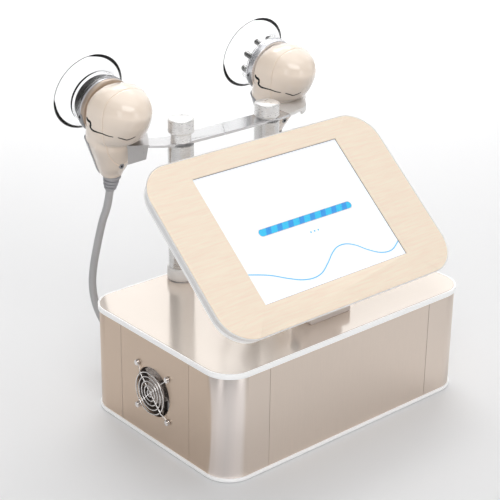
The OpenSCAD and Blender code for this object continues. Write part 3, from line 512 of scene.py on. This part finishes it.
def make_body(side):
    h = hand(side)
    rings = [[surf(2 * math.pi * k / NB, z) for k in range(NB)] for z in Z_ROWS]
    verts, faces = grid_solid(rings)
    for part, sign in (("head_shell", 1), ("front_cover", -1)):
        me = bpy.data.meshes.new(part)
        me.from_pydata(verts, [], faces)
        bm = bmesh.new()
        bm.from_mesh(me)
        bmesh.ops.remove_doubles(bm, verts=bm.verts, dist=1e-3)
        nrm = Vector((0, sign, -sign * SLOPE)).normalized()
        co = Vector((0, PLANE0 + sign * 0.32, 0))
        cut = bmesh.ops.bisect_plane(bm, geom=bm.verts[:] + bm.edges[:] + bm.faces[:], plane_co=co, plane_no=nrm, clear_inner=True)
        rim = [e for e in bm.edges if e.is_boundary]
        cap = bmesh.ops.holes_fill(bm, edges=rim, sides=0)
        bmesh.ops.recalc_face_normals(bm, faces=bm.faces)
        cap_edges = [e for f in cap["faces"] for e in f.edges]
        bmesh.ops.bevel(bm, geom=cap_edges, offset=0.35, offset_type="OFFSET", segments=2, profile=0.5, affect="EDGES", clamp_overlap=True)
        bm.to_mesh(me)
        bm.free()
        if part == "head_shell":
            me = cut_seat(me)
        for v in me.vertices:
            v.co = h(*v.co)
        bm = bmesh.new()
        bm.from_mesh(me)
        bmesh.ops.recalc_face_normals(bm, faces=bm.faces)
        bm.to_mesh(me)
        bm.free()
        me.materials.append(M["shell"])
        me.shade_smooth()
        me.set_sharp_from_angle(angle=math.radians(50))
        o = bpy.data.objects.new(part + "_piece_" + side, me)
        bpy.context.scene.collection.objects.link(o)
        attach(o, "handpiece_" + side)
        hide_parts(part + "_" + side)


def make_panel(side):
    """The grey panel on the back of the handle, open towards the front, three millimetres thick behind."""
    h = hand(side)
    front = monotone([-71, -67, -62, -55, -46, -38, -32.6], [5.4, 6, 7, 8, 9, 10, 11])
    zs = [-32.7 - 38.2 * i / 40 for i in range(41)]
    nphi = 48
    outer, inner = [], []
    for z in zs:
        zc = min(z, -32.75)
        y0 = front(zc)
        a, f, b, n = PANEL_AT(zc)
        x0 = a * max(1 - (y0 / b) ** n, 0) ** (1 / n)
        p0 = math.atan2(y0, x0)
        ro, ri = [], []
        edge = 1 - 0.5 * max(0.0, 1 - abs(z - zs[0]) / 1.2) ** 2 - 0.5 * max(0.0, 1 - abs(z - zs[-1]) / 1.2) ** 2
        for k in range(nphi + 1):
            phi = p0 + (math.pi - 2 * p0) * k / nphi
            r_in = reach(BODY_AT, phi, zc) - 0.4
            r_out = max(reach(PANEL_AT, phi, zc), r_in + 0.9)
            r_out = r_in + (r_out - r_in) * edge
            ro.append((r_out * math.cos(phi), r_out * math.sin(phi), z))
            ri.append((r_in * math.cos(phi), r_in * math.sin(phi), z))
        outer.append(ro)
        inner.append(ri)
    rings = [o + i[::-1] for o, i in zip(outer, inner)]
    verts, faces = grid_solid(rings)
    o = add_mesh("grip_panel_piece_" + side, [h(*v) for v in verts], faces, M["strip"], "handpiece_" + side, 50)
    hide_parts("grip_panel_" + side)


# the dark joint round the head, as points on the body: angle round the handle and height, with the half width of the line
SEAL = [(151.9, -2.6, 1.25), (155, -5.0, 1.25), (164.5, -5.6, 1.2), (165.5, -8.2, 1.15), (164, -10.6, 1.15), (171, -12.4, 0.95), (188.5, -10.5, 0.62),
        (201.0, -9.0, 0.52), (213.4, -8.8, 0.48), (225.4, -8.1, 0.42)]
SEAL_V = [(233.0, -7.4, 0.42), (243, -8.6, 0.58), (250, -9.7, 0.62), (256, -8.2, 0.55), (264.0, -5.2, 0.42)]


def make_seal(side):
    h = hand(side)
    o = None
    runs = [SEAL, SEAL_V, [(540 - p, z, w) for p, z, w in SEAL]]
    verts, faces = [], []
    for run in runs:
        pts = smooth_path([Vector(p) for p in run], 2.0)
        # keep the sharp corners of the jog
        rings = []
        for i, (p, z, w) in enumerate(pts):
            a, b = pts[max(i - 1, 0)], pts[min(i + 1, len(pts) - 1)]
            here = Vector(surf(math.radians(p), z))
            t = (Vector(surf(math.radians(b[0]), b[1])) - Vector(surf(math.radians(a[0]), a[1]))).normalized()
            e1 = Vector(surf(math.radians(p + 1), z)) - Vector(surf(math.radians(p - 1), z))
            e2 = Vector(surf(math.radians(p), z + 0.5)) - Vector(surf(math.radians(p), z - 0.5))
            nrm = e1.cross(e2).normalized()
            side_dir = nrm.cross(t).normalized()
            ww = 1.3 * w * (0.35 if i in (0, len(pts) - 1) else 1.0)
            ring = [here + side_dir * (ww * sx) + nrm * dz for sx, dz in ((-1, -0.5), (-1, 0.03), (-0.5, 0.14), (0.5, 0.14), (1, 0.03), (1, -0.5))]
            rings.append(ring)
        v, f = grid_solid(rings)
        faces += [tuple(i + len(verts) for i in q) for q in f]
        verts += [h(*q) for q in v]
    o = add_mesh("seam_seal_piece_" + side, verts, faces, M["seal"], "handpiece_" + side, 40)
    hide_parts("seam_seal_" + side)


def make_boss(side):
    """Screw boss at the foot of the front cover, with its hollow."""
    h = hand(side)
    z0 = -54.0
    y0 = -BODY_AT(z0)[1]
    prof = [(0.0, 3.2), (1.2, 3.1), (1.6, 2.6), (1.6, 1.7), (0.4, 1.5), (0.4, 0.01), (-2.0, 0.01), (-2.0, 3.2)]
    v, f = lathe(prof, lambda x, y, z: h(x, y0 + 0.5 - y, z0 + z), 40)
    add_mesh("cover_screw_boss_" + side, v, f, M["strip"], "handpiece_" + side, 35)
    v, f = lathe([(0.45, 1.45), (0.9, 1.2), (1.0, 0.01), (0.2, 0.01), (0.2, 1.45)], lambda x, y, z: h(x, y0 + 0.5 - y, z0 + z), 24)
    add_mesh("cover_screw_" + side, v, f, M["seal"], "handpiece_" + side, 35)


def make_saddle(side):
    """Grey band that cradles the lower half of the nose ring and runs on into the grip panel."""
    h = hand(side)
    n = 60
    rings = []
    for k in range(n + 1):
        u = k / n
        ang = math.radians(188 + 164 * u)
        taper = min(1.0, min(u, 1 - u) * 9 + 0.25)
        y1, y2 = 23.6 - 1.4 * taper, 24.6 + 4.2 * taper
        r1, r2 = 31.35, 31.5 + 1.9 * (0.5 + 0.5 * taper)
        prof = [(y1, r1), (y1 + 0.3, r2 - 0.4), (y1 + 0.8, r2), (y2 - 0.8, r2), (y2 - 0.3, r2 - 0.4), (y2, r1)]
        rings.append([h(r * math.cos(ang), y, r * math.sin(ang)) for y, r in prof])
    v, f = grid_solid(rings)
    add_mesh("grip_saddle_" + side, v, f, M["strip"], "handpiece_" + side, 40)
    # dark slots near its two ends
    for s, a0 in (("a", 193.5), ("b", 346.5)):
        rings = []
        for k in range(9):
            ang = math.radians(a0 - 2.6 + 5.2 * k / 8)
            w = 1.3 * math.sqrt(max(1 - ((k - 4) / 4.2) ** 2, 0.02))
            rings.append([h(r * math.cos(ang), 25.4 + y, r * math.sin(ang)) for y, r in ((-w, 32.8), (-w, 33.45), (-w * 0.5, 33.6), (w * 0.5, 33.6), (w, 33.45), (w, 32.8))])
        v, f = grid_solid(rings)
        add_mesh("saddle_slot_%s_%s" % (s, side), v, f, M["seal"], "handpiece_" + side, 40)


for side in ("left", "right"):
    make_body(side)
    make_panel(side)
    make_seal(side)
    make_boss(side)
    make_saddle(side)

# ------------------------------------------------------------------ clear cups and nose rings
CUP = [(28.0, 29.9), (28.0, 31.5), (32.6, 31.55), (34.4, 30.9), (36, 30.4), (42, 30.2), (44.5, 30.6), (47, 31.8), (50, 34.6), (53, 38.2),
       (55.2, 41.0), (56.2, 42.3), (56.4, 43.2), (57.0, 43.8), (57.9, 43.8), (58.4, 43.2), (58.4, 42.4), (57.9, 41.6), (57.0, 41.2),
       (55.6, 39.3), (53, 36.2), (50, 33.0), (47.6, 30.2), (46.2, 28.6), (45.2, 27.95), (44, 27.8), (34, 27.8), (32.9, 28.2), (31.2, 29.9)]


def bead(name, side, radius, y, thickness, mat):
    """A ring round the cup's axis whose thickness changes round it; thickness(angle in degrees) is half of it."""
    h = hand(side)
    rings = []
    n, k = 144, 12
    for i in range(n):
        a = 360 * i / n
        t = thickness(a)
        ca, sa = math.cos(math.radians(a)), math.sin(math.radians(a))
        rings.append([h((radius - t + t * math.cos(2 * math.pi * j / k)) * ca, y + t * math.sin(2 * math.pi * j / k),
                        (radius - t + t * math.cos(2 * math.pi * j / k)) * sa) for j in range(k)])
    verts = [p for r in rings for p in r]
    faces = [(i * k + j, i * k + (j + 1) % k, ((i + 1) % n) * k + (j + 1) % k, ((i + 1) % n) * k + j) for i in range(n) for j in range(k)]
    return add_mesh(name, verts, faces, mat, "handpiece_" + side, None)


def bumps(spans, low):
    """Half thickness round the ring: low, and up to the given height in each span (start, end, height)."""
    def f(a):
        t = low
        for a0, a1, top in spans:
            u = ((a - a0) % 360) / (a1 - a0)
            if u < 1:
                t = max(t, low + (top - low) * math.sin(math.pi * u) ** 0.6)
        return t
    return f


for side in ("left", "right"):
    h = hand(side)
    v, f = lathe(CUP, h, 128)
    o = add_mesh("cup_piece_" + side, v, f, M["clear"], "handpiece_" + side, 55)
    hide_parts("cup_" + side)
    # painted refraction: black beads along the cup's rim, thicker in two crescents, and on the left one more at the
    # neck step, stand in for the dark arcs seen through the clear plastic
    spans = [(2, 96, 2.0), (182, 270, 2.0)] if side == "left" else [(10, 99, 2.0), (188, 278, 2.0)]
    bead("cup_rim_painted_refraction_" + side, side, 44.0, 57.6, bumps(spans, 0.36), M["groove_black_and_painted_refraction"])
    if side == "left":
        bead("cup_step_painted_refraction_left", side, 29.7, 46.2, bumps([(88, 226, 1.1)], 0.3), M["groove_black_and_painted_refraction"])
    if side == "left":
        bands = [("nose_band", [(21.6, 27), (21.6, 30.5), (21.9, 31.0), (22.4, 31.2), (25.9, 31.15), (26.2, 30.9), (26.2, 27)], M["nose"]),
                 ("nose_groove", [(26.2, 27.2), (26.2, 30.6), (26.7, 30.6), (26.7, 27.2)], M["nose_line"]),
                 ("nose_lip", [(26.7, 27.0), (26.7, 30.9), (27.0, 31.3), (28.3, 31.3), (28.6, 31.0), (28.6, 27.3)], M["lip"])]
    else:
        bands = [("nose_band", [(21.6, 27), (21.6, 30.5), (21.9, 31.0), (22.4, 31.25), (27.4, 31.25), (27.7, 31.0), (27.7, 27)], M["lip_steel"]),
                 ("nose_groove", [(27.7, 27.2), (27.7, 30.7), (28.1, 30.7), (28.1, 27.2)], M["groove_black_and_painted_refraction"]),
                 ("nose_lip", [(28.1, 27.0), (28.1, 30.9), (28.3, 31.2), (29.4, 31.2), (29.7, 30.9), (29.7, 27.3)], M["lip_steel"])]
    for nm, prof, mat in bands:
        v, f = lathe(prof, h, 96)
        o = add_mesh(nm + "_" + side, v, f, mat, "handpiece_" + side, 35)
        if nm == "nose_band":
            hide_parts("nose_ring_" + side)

# the sound head: a drum with fine upright ribs
h = hand("left")
rings = []
for k in range(240):
    a = 2 * math.pi * k / 240
    rib = 0.16 * math.sin(60 * a)
    rings.append([h(r * math.cos(a), y, r * math.sin(a)) for y, r in ((28.8, 24.0), (28.8, 25.4), (30.0, 26.0 + rib), (43.2, 26.0 + rib), (43.9, 25.6), (44.2, 24.8),
                                                                     (44.2, 0.02), (28.8, 0.02))])
m_ = len(rings[0])
v = [q for r in rings for q in r]
f = [(k * m_ + i, k * m_ + (i + 1) % m_, ((k + 1) % 240) * m_ + (i + 1) % m_, ((k + 1) % 240) * m_ + i) for k in range(240) for i in range(m_)]
drum = add_mesh("transducer_piece", v, f, M["transducer"], "handpiece_left", 40)
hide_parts("transducer")

# ribbed strain relief and the rings under the handles
RELIEF = [(-73.0, 0.01), (-73.0, 8.9), (-75.4, 9.3), (-76.4, 9.25), (-77.0, 8.4), (-77.5, 7.3), (-78.0, 7.1), (-78.5, 8.2), (-79.4, 8.75), (-80.9, 8.6),
          (-81.6, 7.8), (-82.0, 6.6), (-82.5, 6.5), (-83.0, 7.6), (-83.9, 8.0), (-85.2, 7.85), (-85.9, 7.0), (-86.3, 5.9), (-86.8, 5.8),
          (-87.3, 6.7), (-88.1, 7.0), (-89.2, 6.8), (-89.9, 6.0), (-90.4, 5.3), (-91.2, 5.2), (-92.2, 5.0), (-92.2, 0.01)]
v, f = lathe(RELIEF, lambda x, y, z: h(x, z, y), 64)
o = add_mesh("strain_relief_piece", v, f, M["relief"], "handpiece_left", 60)
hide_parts("strain_relief")

# knurled clamp knobs, turned with fine rings
for side, kx, ky, z_neck, z0 in (("left", -59.0, 97.5, 285.0, 294.5), ("right", 65.0, 99.5, 285.0, 286.5)):
    prof = [(z_neck, 0.01), (z_neck, 11.2), (z0, 11.2), (z0, 12.6), (z0 + 0.35, 13.2), (z0 + 1.5, 14.15)]
    z = z0 + 1.7
    while z < z0 + 13.9:
        prof += [(z, 14.2), (z + 0.55, 14.2), (z + 0.75, 13.9), (z + 1.05, 13.9), (z + 1.25, 14.2)]
        z += 1.5
    prof += [(z0 + 14.5, 14.2), (z0 + 15.7, 13.1), (z0 + 16.0, 12.5), (z0 + 16.0, 0.01)]
    v, f = lathe(prof, lambda x, y, z, kx=kx, ky=ky: P(kx + x, ky + z, y), 96)
    o = add_mesh("knob_piece_" + side, v, f, M["knob"], "knob_" + side, 30)
    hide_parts("knob_" + side)

# ------------------------------------------------------------------ picture on the screen
ORIG = (0, -113.4, 154.9)


def tab(x, y, z):
    c, s = math.cos(TILT), math.sin(TILT)
    return P(ORIG[0] + x, ORIG[1] + y * c - z * s, ORIG[2] + y * s + z * c)


UI_Z = -1.55


def flat_strip(name, centre, width, mat, z0=UI_Z, t=0.06, window=None):
    """A thin raised line on the glass along the centre points, as wide as asked."""
    rings = []
    pts = [Vector((x, y, 0)) for x, y in centre]
    for i, p in enumerate(pts):
        d = (pts[min(i + 1, len(pts) - 1)] - pts[max(i - 1, 0)]).normalized()
        nrm = Vector((-d.y, d.x, 0)) * width / 2
        rings.append([tab(p.x - nrm.x, p.y - nrm.y, z0), tab(p.x - nrm.x, p.y - nrm.y, z0 + t), tab(p.x + nrm.x, p.y + nrm.y, z0 + t),
                      tab(p.x + nrm.x, p.y + nrm.y, z0)])
    v, f = grid_solid(rings)
    return add_mesh(name, v, f, mat, "screen", 30)


def flat_shape(name, outline, mat, z0, t):
    n = len(outline)
    verts = [tab(x, y, z0) for x, y in outline] + [tab(x, y, z0 + t) for x, y in outline]
    faces = [tuple(range(n)), tuple(range(n, 2 * n))] + [(i, (i + 1) % n, n + (i + 1) % n, n + i) for i in range(n)]
    return add_mesh(name, verts, faces, mat, "screen", 30)


wave = smooth_path([Vector((x, y, 0)) for x, y in [(-100.8, 65.9), (-99.2, 65.5), (-76.3, 57.8), (-58.1, 48.4), (-43.2, 41.9), (-28.3, 39.4), (-15.5, 41.5),
                    (-1.5, 49.5), (12.3, 59), (22.4, 63), (33.9, 62.7), (45, 57.6), (56.3, 48.5), (71.4, 40.3), (86, 39.4), (100.8, 46.4)]], 2.0)
flat_strip("ui_wave", [(p.x, p.y) for p in wave], 1.3, M["ui_line"])


def pill(x0, x1, y0, y1, tilt, n=12):
    """Outline of a bar with round ends between x0 and x1, slightly turned as on the screen."""
    r = (y1 - y0) / 2
    cy = (y0 + y1) / 2
    out = [(x1 - r + r * math.sin(math.pi * i / n), cy - r * math.cos(math.pi * i / n)) for i in range(n + 1)]
    out += [(x0 + r - r * math.sin(math.pi * i / n), cy + r * math.cos(math.pi * i / n)) for i in range(n + 1)]
    return [(x, y + (x - x0) * tilt) for x, y in out]


flat_shape("ui_bar_edge", pill(-61.6, 70.8, 98.9, 108.3, 0), M["ui_edge"], UI_Z, 0.03)
flat_shape("ui_bar_fill", pill(-60.9, 70.1, 99.6, 107.6, 0), M["ui_bar"], UI_Z + 0.03, 0.03)
for i in range(8):
    x0 = -53.5 + i * 15.4
    flat_shape("ui_bar_stripe_%d" % i, [(x0 + 0.5, 99.7), (x0 + 7.4, 99.7), (x0 + 11.0, 107.5), (x0 + 4.1, 107.5)], M["ui_stripe"], UI_Z + 0.06, 0.03)
for i in range(3):
    cx = 0.6 + i * 5.2
    flat_shape("ui_dot_%d" % i, [(cx + 1.1 * math.cos(2 * math.pi * k / 20), 87.6 + 1.1 * math.sin(2 * math.pi * k / 20)) for k in range(20)], M["ui_line"], UI_Z, 0.05)

# painted shadow round the window: thin dark strips along its four edges, where the glass lies below the face
for nm, pts in (("window_painted_shadow_top", [(-101, 182.1), (101, 182.1)]), ("window_painted_shadow_right", [(101, 182.1), (101, 29.5)]),
                ("window_painted_shadow_bottom", [(101, 29.5), (-101, 29.5)]), ("window_painted_shadow_left", [(-101, 29.5), (-101, 182.1)])):
    (ax, ay), (bx, by) = pts
    d = Vector((bx - ax, by - ay, 0)).normalized()
    nrm = Vector((d.y, -d.x, 0)) * 0.3
    flat_strip(nm, [(ax + nrm.x, ay + nrm.y), (bx + nrm.x, by + nrm.y)], 0.6, M["recess_shadow_paint"], z0=UI_Z, t=0.25)

# ------------------------------------------------------------------ rounded edges on the CAD pieces
for name, w in (("top_rim", 0.0006), ("bottom_tray", 0.0006), ("top_plate", 0.0003), ("tablet_frame", 0.0008), ("tablet_back", 0.0012), ("tablet_face", 0.0003),
                ("crossbar_left", 0.0005), ("crossbar_right", 0.0005), ("cradle_left", 0.0005), ("cradle_right", 0.0005),
                ("hinge_base", 0.0018), ("pole_collars", 0.0003), ("hose_sockets", 0.0004), ("power_inlet", 0.0005), ("power_switch", 0.0005),
                ("front_panel", 0.0002), ("left_panel", 0.0002), ("right_panel", 0.0002), ("rear_panel", 0.0002), ("corner_panels", 0.0002)):
    soften(name, w)

# ------------------------------------------------------------------ floor and light
floor_mat = bpy.data.materials.new("floor")
floor_mat.use_nodes = True
ft = floor_mat.node_tree
fb = ft.nodes["Principled BSDF"]
fb.inputs["Base Color"].default_value = (0.82, 0.82, 0.825, 1)
fb.inputs["Roughness"].default_value = 0.55
fb.inputs["Specular IOR Level"].default_value = 0.25
fn = ft.nodes.new("ShaderNodeTexNoise")
fn.inputs["Scale"].default_value = 60
fbump = ft.nodes.new("ShaderNodeBump")
fbump.inputs["Strength"].default_value = 0.01
ft.links.new(fn.outputs["Fac"], fbump.inputs["Height"])
ft.links.new(fbump.outputs["Normal"], fb.inputs["Normal"])
fme = bpy.data.meshes.new("floor")
fme.from_pydata([(-9, -9, 0), (9, -9, 0), (9, 9, 0), (-9, 9, 0)], [], [(0, 1, 2, 3)])
fme.materials.append(floor_mat)
floor = bpy.data.objects.new("floor", fme)
bpy.context.scene.collection.objects.link(floor)

world = bpy.data.worlds.new("world")
bpy.context.scene.world = world
world.use_nodes = True
wt = world.node_tree
wt.nodes["Background"].inputs["Strength"].default_value = 1.0
wc = wt.nodes.new("ShaderNodeTexCoord")


def lobe(direction, lo_dot, hi_dot, strength):
    """Brightness that grows towards a direction of the sky."""
    d = wt.nodes.new("ShaderNodeVectorMath")
    d.operation = "DOT_PRODUCT"
    d.inputs[1].default_value = Vector(direction).normalized()
    wt.links.new(wc.outputs["Generated"], d.inputs[0])
    r = wt.nodes.new("ShaderNodeMapRange")
    r.interpolation_type = "SMOOTHSTEP"
    r.inputs["From Min"].default_value, r.inputs["From Max"].default_value = lo_dot, hi_dot
    r.inputs["To Min"].default_value, r.inputs["To Max"].default_value = 0.0, strength
    wt.links.new(d.outputs["Value"], r.inputs["Value"])
    return r.outputs["Result"]


def add(a, b):
    m_ = wt.nodes.new("ShaderNodeMath")
    m_.operation = "ADD"
    wt.links.new(a, m_.inputs[0])
    if hasattr(b, "links"):
        wt.links.new(b, m_.inputs[1])
    else:
        m_.inputs[1].default_value = b
    return m_.outputs["Value"]


sky = add(lobe((0.60, 0.69, 0.42), 0.6, 0.97, 1.0), 0.18)
sky = add(sky, lobe((0, 0, 1), 0.2, 0.9, 0.2))
wt.links.new(sky, wt.nodes["Background"].inputs["Color"])


def area(name, location, target, size, power, color=(1, 1, 1), spread=180):
    d = bpy.data.lights.new(name, "AREA")
    d.spread = math.radians(spread)
    d.shape = "RECTANGLE"
    d.size, d.size_y = size
    d.energy = power
    d.color = color
    o = bpy.data.objects.new(name, d)
    bpy.context.scene.collection.objects.link(o)
    o.location = location
    o.rotation_mode = "QUATERNION"
    o.rotation_quaternion = (Vector(target) - Vector(location)).to_track_quat("-Z", "Y")
    return o


area("overhead", (0.05, 0.0, 2.1), (0, 0, 0), (2.0, 2.0), 9)
area("rear", (1.7, 2.3, 2.8), (1.6, 2.0, 0.0), (2.4, 2.4), 38, spread=85)
area("fill", (-1.2, -1.7, 2.3), (0, 0, 0.25), (2.2, 1.6), 27)
area("left_box", (-2.1, -0.7, 0.35), (0, 0, 0.08), (0.5, 1.0), 2)
area("front_box", (-0.25, -2.2, 0.35), (0, 0, 0.08), (0.5, 1.0), 3)
area("right_box", (1.9, -0.9, 0.9), (0, 0, 0.15), (1.0, 1.2), 2)

scene = bpy.context.scene
scene.view_settings.view_transform = "Standard"
scene.view_settings.look = "None"
scene.view_settings.exposure = 0.0
scene.cycles.max_bounces = 14
scene.cycles.transmission_bounces = 12
scene.cycles.glossy_bounces = 6
scene.cycles.transparent_max_bounces = 12
